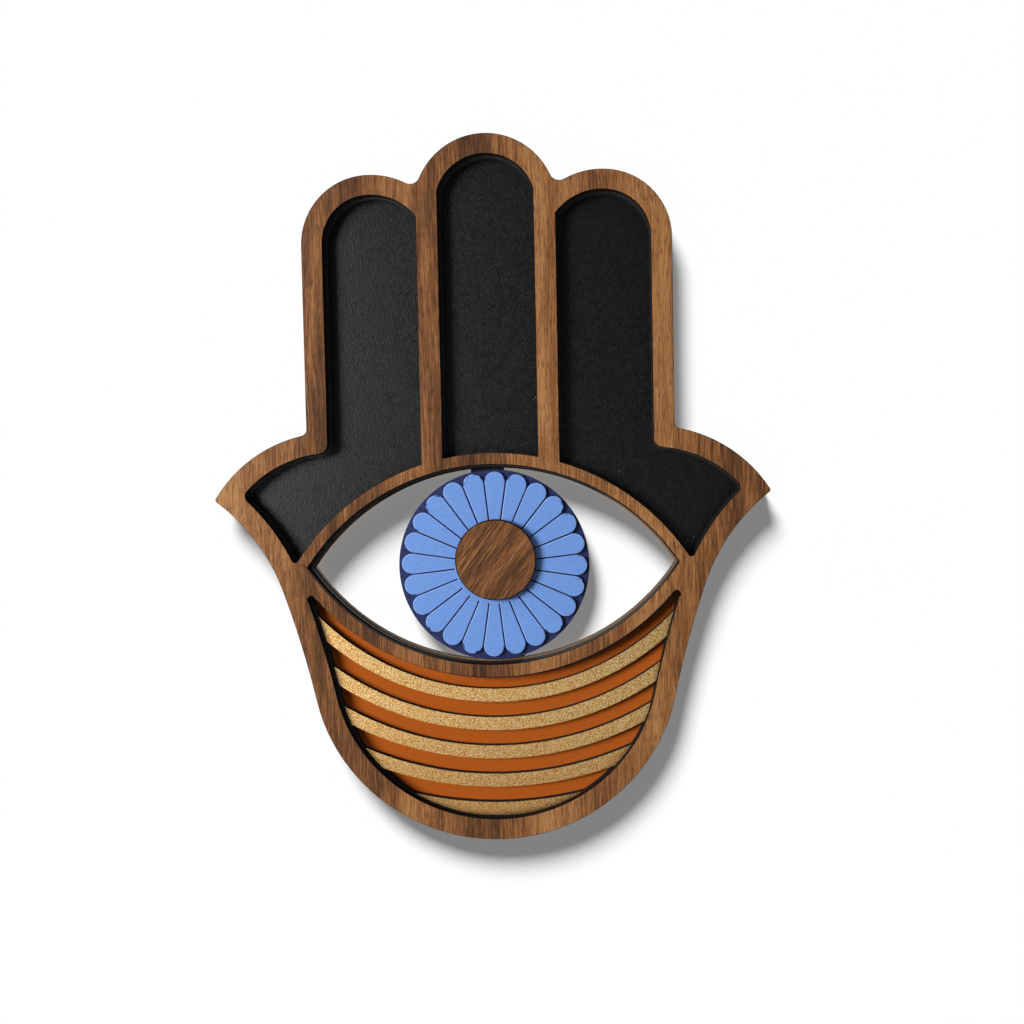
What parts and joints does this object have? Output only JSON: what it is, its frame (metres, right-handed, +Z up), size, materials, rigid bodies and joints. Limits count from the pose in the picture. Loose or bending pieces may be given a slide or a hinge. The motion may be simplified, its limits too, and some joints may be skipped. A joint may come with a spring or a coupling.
{
  "type": "hamsa wall ornament",
  "caption": "Layered wooden hamsa hand for a wall, with an almond eye that is open beside the iris, a petalled iris and glitter strips on an orange palm.",
  "frame": {"origin": "centre of the eye on the board's back face", "axes": "+X is the viewer's right, +Z is up along the middle finger, -Y is the front and +Y faces the wall"},
  "size_m": [0.1988, 0.0135, 0.2527],
  "materials": {
    "walnut": "oiled walnut veneer, satin, with charred cut edges",
    "black_paint": "matte black paint",
    "board": "bare thin board, painted matte black in the finger cells and matte orange in the palm",
    "gold_glitter": "gold glitter paint",
    "navy_paint": "matte navy paint",
    "blue_paint": "satin light blue paint",
    "steel": "zinc plated",
    "felt": "dark felt"
  },
  "bodies": {
    "root": {"back_board": "board", "black_sheet": "black_paint", "bumper_pads": "felt", "front_frame": "walnut", "gold_arc_1": "gold_glitter", "gold_arc_2": "gold_glitter", "gold_arc_3": "gold_glitter", "gold_arc_4": "gold_glitter", "gold_arc_5": "gold_glitter", "hanger_nails": "steel", "iris_base": "navy_paint", "petal_disc": "blue_paint", "pupil_disc": "walnut", "saw_hanger": "steel"}
  },
  "joints": []
}
